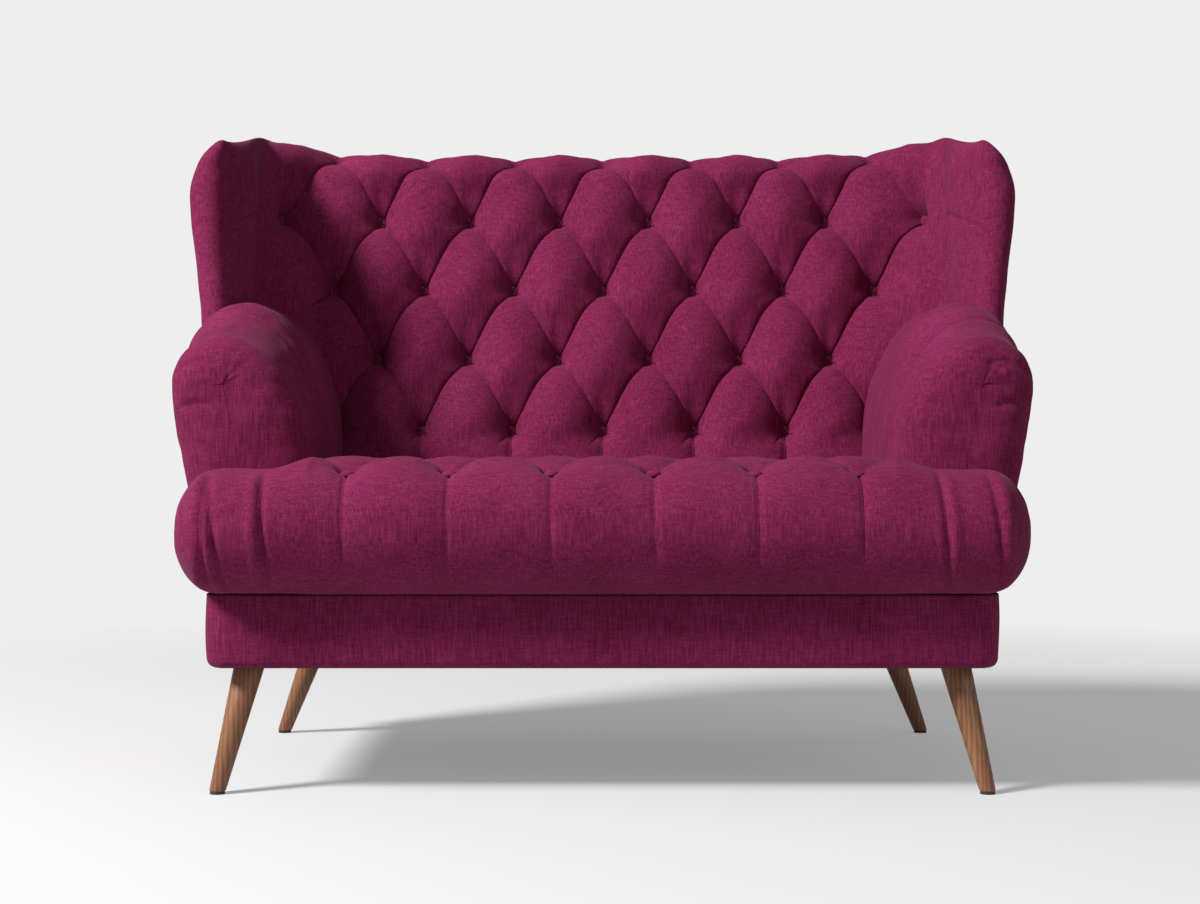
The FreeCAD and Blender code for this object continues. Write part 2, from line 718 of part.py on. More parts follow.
panel_top = roll_start - clear
corner = 0.6 * size("roll_height")
low_half = size("arm_base_half") - 4
mid_half = wing_foot_half - 8
top_half = wing_half - 16
turn = corner * (1 - math.sqrt(0.5))
panel = []
for first, last in ((on_rear(-low_half, pad_floor), on_rear(low_half, pad_floor)),
                    (on_rear(low_half, pad_floor), on_rear(mid_half, wing_foot)),
                    (on_rear(mid_half, wing_foot), on_rear(top_half, panel_top - corner))):
    panel.append(line(first, last))
panel.append(arc(on_rear(top_half, panel_top - corner), on_rear(top_half - turn, panel_top - turn),
                 on_rear(top_half - corner, panel_top)))
panel.append(line(on_rear(top_half - corner, panel_top), on_rear(-top_half + corner, panel_top)))
panel.append(arc(on_rear(-top_half + corner, panel_top), on_rear(-top_half + turn, panel_top - turn),
                 on_rear(-top_half, panel_top - corner)))
panel.append(line(on_rear(-top_half, panel_top - corner), on_rear(-mid_half, wing_foot)))
panel.append(line(on_rear(-mid_half, wing_foot), on_rear(-low_half, pad_floor)))
made("outside_back_cover", Part.Face(Part.Wire(panel)).extrude(Vector(0, size("outside_thick"), 0)))


def seat_outline(x, top, rear):
    """Outline of the seat in depth and height: a half round bolster front under a slightly crowned top."""
    low = pad_floor
    high = top
    radius = 0.5 * (high - low)
    front = -size("seat_front")
    centre = Vector(x, front + radius, low + radius)
    slant = radius * math.sqrt(0.5)
    under = Vector(x, centre.y, low)
    nose = Vector(x, front, centre.z)
    over = Vector(x, centre.y, high)
    back_edge = Vector(x, rear, high - 0.02 * (rear - centre.y))
    crown = (over + back_edge) * 0.5 + Vector(0, 0, 0.02 * (rear - centre.y))
    return Part.Wire([line(Vector(x, rear, low), under), arc(under, centre + Vector(0, -slant, -slant), nose),
                      arc(nose, centre + Vector(0, -slant, slant), over), arc(over, crown, back_edge),
                      line(back_edge, Vector(x, rear, low))])


def seat_deck():
    """The seat between the arms, one outline padded across."""
    half = arm_inner - clear
    outline = Part.Face(seat_outline(-half, size("seat_height"), face_y(pad_floor) + 200))
    return outline.extrude(Vector(2 * half, 0, 0)).cut(back_room)


def seat_ends():
    """The two ends of the bolster, in front of the arms: a sloping step down and a run with a rounded end."""
    height = size("seat_height")
    drop = size("seat_end_drop")
    half = arm_inner - clear
    rear = -arm_front - clear
    full = size("bolster_half_width")
    step = Part.makeLoft([seat_outline(half, height, rear),
                          seat_outline(half + 1.5 * drop, height - drop, rear)], True, True)
    run = Part.Face(seat_outline(half + 1.5 * drop, height - drop, rear))
    run = run.extrude(Vector(full - half - 1.5 * drop, 0, 0))
    rim = [edge for edge in run.Edges if edge.BoundBox.XMin > full - 0.01 and edge.BoundBox.YMin < rear - 1]
    run = run.makeFillet(size("bolster_round"), rim)
    end = run.fuse(step)
    return [end, mirrored(end)]


def seat_block(skin, side):
    """The seat's foam, cut from slabs: the deck with its bolster front and the lower ends in front of the arms."""
    parts = []
    ends = size("bolster_half_width") - side - 0.8 * skin
    for half, top, rear in ((arm_inner - side, size("seat_height"), face_y(pad_floor) + 200),
                            (ends, size("seat_height") - size("seat_end_drop"), -arm_front - side)):
        low = pad_floor
        high = top - skin
        front = -size("seat_front") + skin
        slab = 0.32 * (high - low)
        corners = [(rear, low), (front + slab, low), (front, low + slab), (front, high - slab),
                   (front + slab, high), (rear, high - 0.02 * (rear - front))]
        parts.append(prism_x(corners, -half, half))
    return parts[0].cut(back_room).fuse(parts[1])


def seat_rows():
    """Across places of the seat's buttons: six along the bolster and five behind them."""
    return [[(index - (count - 1) / 2) * size("seat_pitch") for index in range(count)] for count in (6, 5)]


def seat_top(row):
    """Depth and height of the seat's surface at a row of its buttons."""
    radius = 0.5 * (size("seat_height") - pad_floor)
    y = -size("seat_button_y") + row * size("seat_row_step")
    behind = min(0.0, y + size("seat_front") - radius)
    return Vector(0, y, size("seat_height") - radius + math.sqrt(radius * radius - behind * behind))


def seat_cutters():
    """Channels down the bolster from each front button, and the pleats back to the second row."""
    step = size("seat_pitch")
    radius = 0.5 * (size("seat_height") - pad_floor)
    axis = Vector(0, -size("seat_front") + radius, size("seat_height") - radius)
    rim_height = 2.2 * size("seat_groove")
    near_top = seat_top(0)
    first = math.degrees(math.atan2(near_top.z - axis.z, axis.y - near_top.y))
    cutters = []
    for u in seat_rows()[0]:
        start = axis + Vector(u, -radius * math.cos(math.radians(first)), radius * math.sin(math.radians(first)))
        inward = (Vector(u, axis.y, axis.z) - start).normalize()
        profile = notch(start, inward.cross(Vector(1, 0, 0)), inward, 0.3 * step, size("seat_channel"), rim_height)
        cutters.append(Part.Face(profile).revolve(axis, Vector(1, 0, 0), first + 88))
        for hand in (-1, 1):
            near = Vector(u, 0, 0) + near_top
            far = Vector(u + hand * step / 2, 0, 0) + seat_top(1)
            along = (far - near).normalize()
            down = Vector(along.x * along.z, along.y * along.z, along.z * along.z - 1).normalize()
            start = near - along * size("button_diameter") * 0.7
            profile = notch(start, along, down, 0.4 * step, size("seat_groove"), rim_height)
            cutters.append(Part.Face(profile).extrude((far - start) * 1.5))
    return cutters


# Seat: buttoned cover and wadding over a foam block, on the webbing; each button tied down through the foam
pit_radius = button_radius + 2.0
seat_buttons = []
seat_ties = []
seat_pits = []
seat_holes = []
for row, places in enumerate(seat_rows()):
    outward = Vector(0, -0.45, 1).normalize() if row == 0 else Vector(0, 0, 1)
    for u in places:
        base = Vector(u, 0, 0) + seat_top(row) - outward * size("seat_button_sink")
        seat_buttons.append(stood(cap, base, outward))
        seat_pits.append(rod(pit_radius, size("seat_button_sink") + 12, base, outward, 10))
        seat_holes.append(rod(twine_radius + clear, size("twine_in_seat") + 2, base, -outward))
        seat_ties.append(rod(twine_radius, size("twine_in_seat"), base - outward * clear, -outward))
side_skin = 0.5 * size("seat_skin")
seat_cover = seat_deck()
for cutter in seat_cutters():
    seat_cover = seat_cover.cut(cutter)
seat_core = seat_block(size("seat_skin"), side_skin)
seat_cover = seat_cover.fuse(seat_ends()).cut([seat_core] + seat_pits + seat_holes)
made("seat_cover", seat_cover)
seat_foam = seat_block(size("seat_skin") + clear, side_skin + clear)
made("seat_foam", seat_foam.cut(seat_holes))
made("seat_buttons", Part.makeCompound(seat_buttons))
made("seat_button_ties", Part.makeCompound(seat_ties))

doc.recompute()
for piece in doc.Objects:
    if "Invalid" in piece.State or "Error" in piece.State:
        raise RuntimeError("failed: " + piece.Name)
for piece in sub_parts:
    if piece.Shape.isNull() or not piece.Shape.isValid():
        raise RuntimeError("bad shape: " + piece.Name)
os.makedirs("parts", exist_ok=True)
for piece in sub_parts:
    piece.Shape.exportStep("parts/%s.step" % piece.Label)
    print(piece.Label, len(piece.Shape.Solids), len(piece.Shape.Faces), round(piece.Shape.Volume / 1e3))
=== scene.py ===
import bpy
import bmesh
import json
import math
import numpy as np
from mathutils import Matrix, Vector


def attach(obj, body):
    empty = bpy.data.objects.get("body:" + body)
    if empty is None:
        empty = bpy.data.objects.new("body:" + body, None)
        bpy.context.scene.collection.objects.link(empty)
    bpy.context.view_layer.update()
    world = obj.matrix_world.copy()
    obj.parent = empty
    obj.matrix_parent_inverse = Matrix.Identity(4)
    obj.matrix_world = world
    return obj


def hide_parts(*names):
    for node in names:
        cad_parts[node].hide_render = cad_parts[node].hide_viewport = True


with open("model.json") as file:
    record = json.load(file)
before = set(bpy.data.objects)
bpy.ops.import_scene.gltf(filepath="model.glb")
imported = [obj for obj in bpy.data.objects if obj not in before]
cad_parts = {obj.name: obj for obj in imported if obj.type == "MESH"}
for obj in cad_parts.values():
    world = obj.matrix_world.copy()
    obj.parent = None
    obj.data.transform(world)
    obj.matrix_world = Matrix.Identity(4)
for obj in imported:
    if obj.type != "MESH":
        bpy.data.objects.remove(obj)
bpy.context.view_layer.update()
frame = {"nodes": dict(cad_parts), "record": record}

# Magenta linen-look cloth that covers the whole sofa: a plain weave of uneven yarns, heathered
# from thread to thread, matt with a little sheen where it turns away, pulled into folds by hand.


class Value:
    """A socket that takes part in Python expressions."""

    def __init__(self, nodes, socket):
        self.nodes = nodes
        self.socket = socket

    def maths(self, operation, other, swap=False):
        pair = [other, self] if swap else [self, other]
        return self.nodes.node("ShaderNodeMath", {"operation": operation}, {0: pair[0], 1: pair[1]})

    def __add__(self, other):
        return self.maths("ADD", other)

    def __radd__(self, other):
        return self.maths("ADD", other, True)

    def __sub__(self, other):
        return self.maths("SUBTRACT", other)

    def __rsub__(self, other):
        return self.maths("SUBTRACT", other, True)

    def __mul__(self, other):
        return self.maths("MULTIPLY", other)

    def __rmul__(self, other):
        return self.maths("MULTIPLY", other, True)

    def clamp(self):
        return self.nodes.node("ShaderNodeClamp", {}, {0: self})


class Finish:
    """A procedural material under construction."""

    def __init__(self, name):
        self.material = bpy.data.materials.new(name)
        self.material.use_nodes = True
        self.tree = self.material.node_tree
        self.shader = self.tree.nodes["Principled BSDF"]
        self.place = self.node("ShaderNodeTexCoord", {}, {}, "Object")

    def node(self, kind, settings, inputs, output=0):
        made = self.tree.nodes.new(kind)
        for name, value in settings.items():
            if name == "stops":
                ramp = made.color_ramp
                for index, (place, colour) in enumerate(value):
                    stop = ramp.elements[index] if index < 2 else ramp.elements.new(place)
                    stop.position = place
                    stop.color = (*colour, 1)
            else:
                setattr(made, name, value)
        for key, value in inputs.items():
            self.feed(made.inputs[key], value)
        return Value(self, made.outputs[output])

    def feed(self, socket, value):
        if isinstance(value, Value):
            self.tree.links.new(value.socket, socket)
        else:
            socket.default_value = value

    def set(self, **values):
        for name, value in values.items():
            self.feed(self.shader.inputs[name.replace("_", " ")], value)

    def noise(self, scale, stretch, detail=3.0, offset=0.0):
        """Noise that is stretched along each axis, as a value round a half."""
        turned = self.node("ShaderNodeMapping", {}, {"Vector": self.place, "Scale": stretch,
                                                     "Location": (offset, offset, offset)})
        return self.node("ShaderNodeTexNoise", {}, {"Vector": turned, "Scale": scale, "Detail": detail})

    def bump(self, height, distance, strength=1.0):
        self.set(Normal=self.node("ShaderNodeBump", {}, {"Height": height, "Distance": distance,
                                                         "Strength": strength}))


def woven(name, light, mean, dark, roughness=0.92):
    """Cloth of slubby yarns: upright ones show most, with cross yarns, flecks and a soft nap."""
    cloth = Finish(name)
    upright = cloth.noise(430, (1, 1, 0.07), 3.0)
    across = cloth.noise(520, (0.12, 0.12, 1), 2.0, 3.1)
    fleck = cloth.noise(1300, (1, 1, 0.5), 1.0, 7.7)
    wide = cloth.noise(9, (1, 1, 0.6), 2.0, 1.3)
    thread = 0.5 * upright + 0.27 * across + 0.23 * fleck
    tone = ((thread - 0.5) * 2.7 + (wide - 0.5) * 0.5 + 0.5).clamp()
    shades = {"stops": [(0.0, dark), (1.0, light), (0.5, mean)]}
    cloth.set(Base_Color=cloth.node("ShaderNodeValToRGB", shades, {0: tone}),
              Roughness=(roughness - (tone - 0.5) * 0.12))
    cloth.shader.inputs["Sheen Weight"].default_value = 0.05
    cloth.shader.inputs["Sheen Roughness"].default_value = 0.45
    cloth.shader.inputs["Sheen Tint"].default_value = (1.0, 0.55, 0.8, 1)
    cloth.shader.inputs["Specular IOR Level"].default_value = 0.18
    cloth.bump(thread, 0.0007, 0.55)
    return cloth.material


linen = woven("magenta_linen", (0.250, 0.025, 0.098), (0.165, 0.0095, 0.054), (0.080, 0.002, 0.022))


# Inside back: one panel of cloth over thick wadding, laid in diamonds over the foam. At every corner a
# button pulls it deep into the pad, and the spare cloth between is folded into pleats that face down.


def laid_out(name, bm, material):
    """Puts a finished bmesh in the scene as a smooth piece that rides on the sofa."""
    mesh = bpy.data.meshes.new(name)
    bm.to_mesh(mesh)
    bm.free()
    mesh.materials.append(material)
    mesh.shade_smooth()
    piece = bpy.data.objects.new(name, mesh)
    bpy.context.scene.collection.objects.link(piece)
    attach(piece, "root")
    return piece


def moved(bm, shape):
    """Moves every point of a flat bmesh to the place that shape gives for its two coordinates."""
    flat = np.array([point.co[:] for point in bm.verts])
    for point, place in zip(bm.verts, shape(flat[:, 0], flat[:, 1])):
        point.co = place


def smooth_step(value, low, high):
    share = np.clip((value - low) / (high - low), 0, 1)
    return share * share * (3 - 2 * share)


def wander(x, y, step, seed):
    """Smooth unevenness between -1 and 1, such as stuffing leaves under cloth."""
    turns = [(1.0, 0.37, 0.3), (-0.61, 0.93, 1.9), (0.83, -0.71, 4.2),
             (-0.29, -1.21, 2.6), (1.37, 0.17, 5.5)]
    total = 0
    for across, up, phase in turns:
        total = total + np.sin((across * x + up * y) * 2 * math.pi / step + phase * seed)
    return total / len(turns)


RAKE = math.tan(math.radians(15.3))
REAR_RAKE = math.tan(math.radians(5.8))
FACE_FOOT_Y = 0.170
FACE_FOOT_Z = 0.489
REAR_TOP_Y = 0.430
ROLL_FROM = 0.960
ROLL_HIGH = 0.061
ROLL_RUN = 0.0995
END_RISE = 0.022
HALF_PITCH = 0.078
ROW = 0.1265
FIRST_ROW = 0.909
FOLD_RADIUS = 0.135
FOLD_TURN = math.radians(79.7)
FOLD_START = 0.566 - FOLD_RADIUS * math.tan(FOLD_TURN / 2)
FOLD_END = FOLD_START + FOLD_RADIUS * FOLD_TURN
SLOPE_LENGTH = math.hypot(1, RAKE)
TO_ROLL = (ROLL_FROM - FIRST_ROW) * SLOPE_LENGTH
STRONG_PLEAT = 0.0185
FAINT_PLEAT = 0.0105
PIT_DEEP = 0.0160
BUTTON_DEEP = 0.0425
LINE_STEP = 2 * HALF_PITCH * ROW / math.hypot(HALF_PITCH, ROW)


def face_y(z):
    return FACE_FOOT_Y + (z - FACE_FOOT_Z) * RAKE


def rear_y(z):
    return REAR_TOP_Y - (ROLL_FROM - z) * REAR_RAKE


def inside_path(w):
    """Across place and depth ahead of the back's plane, a distance w along the cloth from the middle."""
    side = np.sign(w)
    run = np.abs(w)
    angle = np.clip((run - FOLD_START) / FOLD_RADIUS, 0, FOLD_TURN)
    beyond = np.clip(run - FOLD_START - FOLD_RADIUS * FOLD_TURN, 0, None)
    x = np.minimum(run, FOLD_START) + FOLD_RADIUS * np.sin(angle) + beyond * math.cos(FOLD_TURN)
    y = -FOLD_RADIUS * (1 - np.cos(angle)) - beyond * math.sin(FOLD_TURN)
    return side * x, y


def back_surface(w, t):
    """The pad's crown surface, w across and t up from the first row of buttons, over the rounded top."""
    x, ahead = inside_path(w)
    z = FIRST_ROW + np.minimum(t, TO_ROLL) / SLOPE_LENGTH
    turn = np.clip((t - TO_ROLL) / ROLL_RUN, 0, 2) * math.pi / 2
    front = face_y(z) + ahead
    centre = 0.5 * (face_y(ROLL_FROM) + rear_y(ROLL_FROM)) + ahead * 0.55
    y = np.where(t > TO_ROLL, centre + (front - centre) * np.cos(turn), front)
    high = ROLL_HIGH + END_RISE * smooth_step(np.abs(w), 0.36, 0.63)
    return np.stack([x, y, z + high * np.sin(turn)], -1)


def outward(surface, w, t):
    """Unit normals of a surface of two coordinates, facing the sitter."""
    step = 0.002
    across = surface(w + step, t) - surface(w - step, t)
    up = surface(w, t + step) - surface(w, t - step)
    normal = np.cross(across, up)
    return normal / np.maximum(np.linalg.norm(normal, axis=1), 1e-9)[:, None]


def round_off(distance, width):
    """0 in a pleat and 1 beyond its width, rounded as cloth over stuffing is."""
    share = 1 - np.clip(distance / width, 0, 1)
    return np.sqrt(np.clip(1 - share * share, 0, 1))


def wave(value):
    """Distance to the nearest whole number, with its sign."""
    return value - np.round(value)


def tufted(p, q):
    """Places of the buttoned panel's points, where p counts half pitches across and q rows up."""
    # The diamonds end below the bottom row, over the top and half a pitch past the outermost buttons.
    fade = smooth_step(q, -3.3, -2.95) * (1 - smooth_step(q, 0.95, 1.15))
    inner = 1 - smooth_step(np.abs(p) + 0.25 * np.abs(wave(q)), 6.95, 7.45)
    rows_in = np.where(q < -0.98, 1 - smooth_step(np.abs(p), 6.15, 6.6), 1)
    inner = inner * rows_in
    falling = (p + q + 1) / 2
    rising = (p - q + 1) / 2
    off_fall = wave(falling) * LINE_STEP
    off_rise = wave(rising) * LINE_STEP
    # Pleats that rise to the right are deep and folded over; those that fall are shallow.
    deep_rise = STRONG_PLEAT * fade * inner
    deep_fall = FAINT_PLEAT * fade * inner
    strong = round_off(np.where(off_rise < 0, -off_rise, off_rise * 0.62), 0.062)
    faint = round_off(np.abs(off_fall), 0.050)
    down = deep_rise * (1 - strong) + deep_fall * (1 - faint)
    # Upright pleats hang from the bottom row and run over the top from each button of the first row.
    upright = wave(p / 2) * 2 * HALF_PITCH
    hanging = smooth_step(-q, 2.98, 3.2) * inner
    down += 0.019 * hanging * (1 - round_off(np.abs(upright), 0.06))
    over = smooth_step(q, 0.9, 1.05) * (1 - smooth_step(q, 1.1, 1.5))
    down += 0.012 * over * (1 - round_off(np.abs(upright), 0.05))
    # Each button sinks a pit with small puckers round it and draws down the cloth just above it.
    near_p = np.round(p)
    near_q = np.round(q)
    wrong = (np.abs(near_p + near_q) % 2) < 0.5
    near_p = near_p + np.where(wrong, np.where(p > near_p, 1, -1), 0)
    allowed = (near_q <= 0) & (near_q >= -3) & (np.abs(near_p) < np.where(near_q == 0, 7.5, 6.5))
    du = (p - near_p) * HALF_PITCH
    dv = (q - near_q) * ROW
    reach = np.hypot(du, dv)
    bearing = np.arctan2(dv, du)
    pull = np.where(allowed, 1, 0)
    down += pull * (PIT_DEEP * np.exp(-(reach / 0.0165) ** 2) + 0.0085 * np.exp(-(reach / 0.046) ** 2))
    phase = 1.7 * near_p + 2.9 * near_q
    ripple = np.cos(9 * bearing + phase) * 0.6 + np.cos(14 * bearing - phase) * 0.4
    down += pull * 0.0013 * ripple * np.exp(-reach / 0.024) * smooth_step(reach, 0.004, 0.014)
    above = np.clip(dv, 0, None)
    down += pull * 0.006 * np.exp(-(du + 0.004) ** 2 / 0.00010 - (above - 0.022) ** 2 / 0.0005) * (dv > 0)
    # Between the pleats every diamond is stuffed full; the panel ends calm and smooth at the wings.
    crown = np.sin(math.pi * np.clip(falling - np.floor(falling), 0, 1))
    crown = crown * np.sin(math.pi * np.clip(rising - np.floor(rising), 0, 1))
    down -= 0.0085 * crown * fade
    down += 0.0012 * wander(p * HALF_PITCH, q * ROW, 0.11, 1.0)
    calm = 1 - smooth_step(np.abs(p), 7.25, FOLD_END / HALF_PITCH - 0.05)
    down = down * calm
    # The pleats bow upwards between two buttons, and their upper cloth laps over the lower.
    bow = np.sin(math.pi * q) ** 2 * fade * calm
    near_rise = np.exp(-(off_rise / 0.045) ** 2)
    lift = bow * (0.009 + 0.007 * near_rise)
    lap = 0.0075 * (np.clip(-off_rise, 0, None) / 0.006) * np.exp(1 - np.clip(-off_rise, 0, None) / 0.006)
    lap = lap * fade * inner * np.clip(np.abs(np.sin(math.pi * q)) * 1.6, 0, 1)
    w = p * HALF_PITCH + lap * 0.85
    t = q * ROW + lift - lap * 0.52
    normal = outward(back_surface, p * HALF_PITCH, q * ROW)
    return back_surface(w, t) - normal * down[:, None]


PER_PLEAT = 26
CLUSTER = 0.62 / (2 * math.pi)
bm = bmesh.new()
bmesh.ops.create_grid(bm, x_segments=18 * PER_PLEAT, y_segments=18 * PER_PLEAT, size=9)
for point in bm.verts:
    first, second = (round(value * PER_PLEAT) / PER_PLEAT for value in point.co[:2])
    first, second = (value - CLUSTER * math.sin(2 * math.pi * value) for value in (first, second))
    point.co = (first + second - 1, first - second, 0)
TOP_Q = (TO_ROLL + 2 * ROLL_RUN) / ROW
LOW_Q = -3.95
SIDE_P = FOLD_END / HALF_PITCH
for place, facing in (((-SIDE_P, 0, 0), (-1, 0, 0)), ((SIDE_P, 0, 0), (1, 0, 0)),
                      ((0, LOW_Q, 0), (0, -1, 0)), ((0, TOP_Q, 0), (0, 1, 0))):
    bmesh.ops.bisect_plane(bm, geom=bm.verts[:] + bm.edges[:] + bm.faces[:], plane_co=place,
                           plane_no=facing, clear_outer=True)
moved(bm, tufted)
bmesh.ops.recalc_face_normals(bm, faces=bm.faces[:])
if sum(face.normal.y for face in bm.faces) > 0:
    bmesh.ops.reverse_faces(bm, faces=bm.faces[:])
inside_back = laid_out("inside_back", bm, linen)
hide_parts("back_inside_cover", "back_foam")

# Wings: pads on the back's ends that flare out and forward to a round nose; smooth cloth inside with one
# thin pleat from the outermost button, plain outside, drawn over the top to a ridge.
NOSE_RADIUS = 0.0305
NOSE_X = 0.6425
NOSE_Y = 0.0445
NOSE_DROP = 0.014
WING_DEEP = 0.355
REAR_RADIUS = 0.03
WING_FLAT = FOLD_END + math.hypot(0.046, 0.2545) - FOLD_RADIUS * math.tan(FOLD_TURN / 2)
NOSE_END = WING_FLAT + math.pi * NOSE_RADIUS
REAR_CORNER = NOSE_END + WING_DEEP
REAR_FLAT = REAR_CORNER + 0.047
WING_END = REAR_FLAT + 0.0695
SHOULDER_X = 0.588
SHOULDER_Z = 0.900
WING_LOW = (0.66 - FIRST_ROW) * SLOPE_LENGTH
WING_TOP = TO_ROLL + ROLL_RUN
WING_BELLY = 0.020
FOLD_X, FOLD_AHEAD = (float(value) for value in inside_path(np.array(FOLD_END)))


def wing_surface(w, t):
    """The right wing's cloth: w runs on from the fold round the nose to the rear, t up to the ridge."""
    run = np.maximum(w, FOLD_END)
    x, ahead = inside_path(np.minimum(run, WING_FLAT))
    y = face_y(ROLL_FROM) + ahead
    turn = np.clip((run - WING_FLAT) / NOSE_RADIUS, 0, math.pi)
    nose = run > WING_FLAT
    x = np.where(nose, NOSE_X - NOSE_RADIUS * np.cos(turn), x)
    y = np.where(nose, NOSE_Y - NOSE_RADIUS * np.sin(turn), y)
    y = y + np.clip(run - NOSE_END, 0, WING_DEEP)
    corner = np.clip((run - REAR_CORNER) / REAR_RADIUS, 0, math.pi / 2)
    x = x - REAR_RADIUS * (1 - np.cos(corner)) - np.clip(run - REAR_FLAT, 0, None)
    y = y + NOSE_RADIUS * np.sin(corner)
    along = np.where(nose, np.clip((run - NOSE_END) / (WING_END - NOSE_END), 0, 1),
                     1 - (run - FOLD_END) / (WING_FLAT - FOLD_END))
    middle_x = NOSE_X + (FOLD_X - NOSE_X) * along
    centre = 0.5 * (face_y(ROLL_FROM) + rear_y(ROLL_FROM)) + FOLD_AHEAD * 0.55
    middle_y = NOSE_Y + (centre - NOSE_Y) * along
    z = FIRST_ROW + np.minimum(t, TO_ROLL) / SLOPE_LENGTH
    share = np.cos(np.clip((t - TO_ROLL) / ROLL_RUN, 0, 1) * math.pi / 2)
    x = middle_x + (x - middle_x) * share
    y = middle_y + (y - middle_y) * share
    lean = RAKE + (REAR_RAKE - RAKE) * smooth_step(run, NOSE_END, REAR_CORNER)
    y = y - (ROLL_FROM - z) * lean
    high = ROLL_HIGH - NOSE_DROP + (END_RISE + NOSE_DROP) * smooth_step(along, 0.0, 1.0)
    z = z + high * np.sqrt(np.clip(1 - share * share, 0, 1))
    shoulder = np.sqrt(np.clip(1 - (np.clip(z - SHOULDER_Z, 0, 0.125) / 0.132) ** 2, 0, 1))
    x = np.where(x > SHOULDER_X, SHOULDER_X + (x - SHOULDER_X) * shoulder, x)
    narrow = 1 - smooth_step(z, 0.66, 0.95)
    outside = smooth_step(run, WING_FLAT - 0.05, NOSE_END) * (1 - smooth_step(run, REAR_CORNER, WING_END))
    x = x - narrow * (0.010 + 0.024 * outside) * smooth_step(run, FOLD_END, WING_FLAT)
    return np.stack([x, y, z], -1)


def near_line(x, y, line):
    """Distance to a bent line and how far along it the nearest point lies, for arrays of places."""
    best = np.full(x.shape, 9.0)
    where = np.zeros(x.shape)
    side = np.zeros(x.shape)
    for index, (start, end) in enumerate(zip(line, line[1:])):
        ex, ey = end[0] - start[0], end[1] - start[1]
        share = np.clip(((x - start[0]) * ex + (y - start[1]) * ey) / (ex * ex + ey * ey), 0, 1)
        dx, dy = x - start[0] - share * ex, y - start[1] - share * ey
        reach = np.hypot(dx, dy)
        closer = reach < best
        best = np.where(closer, reach, best)
        where = np.where(closer, (index + share) / (len(line) - 1), where)
        side = np.where(closer, np.sign(ex * dy - ey * dx), side)
    return best, where, side


def tuck(x, y, line, deep, wide, step=0.0):
    """How far cloth sinks along a tuck that fades at its ends, with a step between its two sides."""
    reach, where, side = near_line(x, y, line)
    ends = smooth_step(where, 0.0, 0.18) * (1 - smooth_step(where, 0.82, 1.0))
    sunk = deep * np.exp(-(reach / wide) ** 2)
    return ends * (sunk + step * side * np.exp(-reach / (5 * wide)) * (1 - np.exp(-(reach / wide) ** 2)))


def wing_cloth(a, b):
    """The wing's cloth with its stuffing's belly, fine unevenness and the thin pleat."""
    w = FOLD_END + (WING_END - FOLD_END) * (a + 0.5)
    t = WING_LOW + (WING_TOP - WING_LOW) * (b + 0.5)
    down = 0.0016 * wander(w, t, 0.21, 2.3) + 0.0008 * wander(w, t, 0.07, 4.1)
    down = down * smooth_step(w, FOLD_END, FOLD_END + 0.03)
    down = down * (1 - smooth_step(w, WING_END - 0.03, WING_END))
    down = down * (1 - smooth_step(t, WING_TOP - 0.03, WING_TOP))
    pleat = [(FOLD_END - 0.02, 0.0), (FOLD_END + 0.10, -0.030), (WING_FLAT + 0.03, -0.058)]
    down += tuck(w, t, pleat, 0.0035, 0.0034, -0.0008)
    belly = np.sin(math.pi * np.clip((w - FOLD_END) / (WING_FLAT - FOLD_END), 0, 1))
    belly = belly * smooth_step(t, WING_LOW, WING_LOW + 0.1)
    belly = belly * (1 - smooth_step(t, WING_TOP - 0.11, WING_TOP))
    down -= WING_BELLY * belly
    return wing_surface(w, t) - outward(wing_surface, w, t) * down[:, None]


for side, name in ((1, "right_wing"), (-1, "left_wing")):
    bm = bmesh.new()
    bmesh.ops.create_grid(bm, x_segments=190, y_segments=96, size=0.5)
    moved(bm, wing_cloth)
    if side < 0:
        bmesh.ops.scale(bm, vec=(-1, 1, 1), verts=bm.verts[:])
        bmesh.ops.reverse_faces(bm, faces=bm.faces[:])
    wing = laid_out(name, bm, linen)
    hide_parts(name + "_pad")

# Outside back: cloth on a thin pad, tacked flat down the rear of the frame.
REAR_LOW = 0.2925
REAR_HIGH = 0.958


def outside_back(a, b):
    """The rear panel: a across and b up, its edges rounded over."""
    z = REAR_LOW + (REAR_HIGH - REAR_LOW) * (b + 0.5)
    half = np.interp(z, [REAR_LOW, 0.690, 0.93, REAR_HIGH], [0.592, 0.632, 0.654, 0.640])
    edge = np.minimum((0.5 - np.abs(a)) * 2 * half, np.minimum(z - REAR_LOW, REAR_HIGH - z))
    y = rear_y(z) - 0.008 + 0.0085 * np.sqrt(np.clip(1 - (1 - np.clip(edge / 0.012, 0, 1)) ** 2, 0, 1))
    y = y + 0.0012 * wander(a * 1.3, z, 0.33, 1.4) * np.clip(edge / 0.03, 0, 1)
    return np.stack([a * 2 * half, y, z], -1)


bm = bmesh.new()
bmesh.ops.create_grid(bm, x_segments=120, y_segments=70, size=0.5)
moved(bm, outside_back)
bmesh.ops.recalc_face_normals(bm, faces=bm.faces[:])
if sum(face.normal.y for face in bm.faces) < 0:
    bmesh.ops.reverse_faces(bm, faces=bm.faces[:])
rear_cloth = laid_out("outside_back", bm, linen)
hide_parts("outside_back_cover")

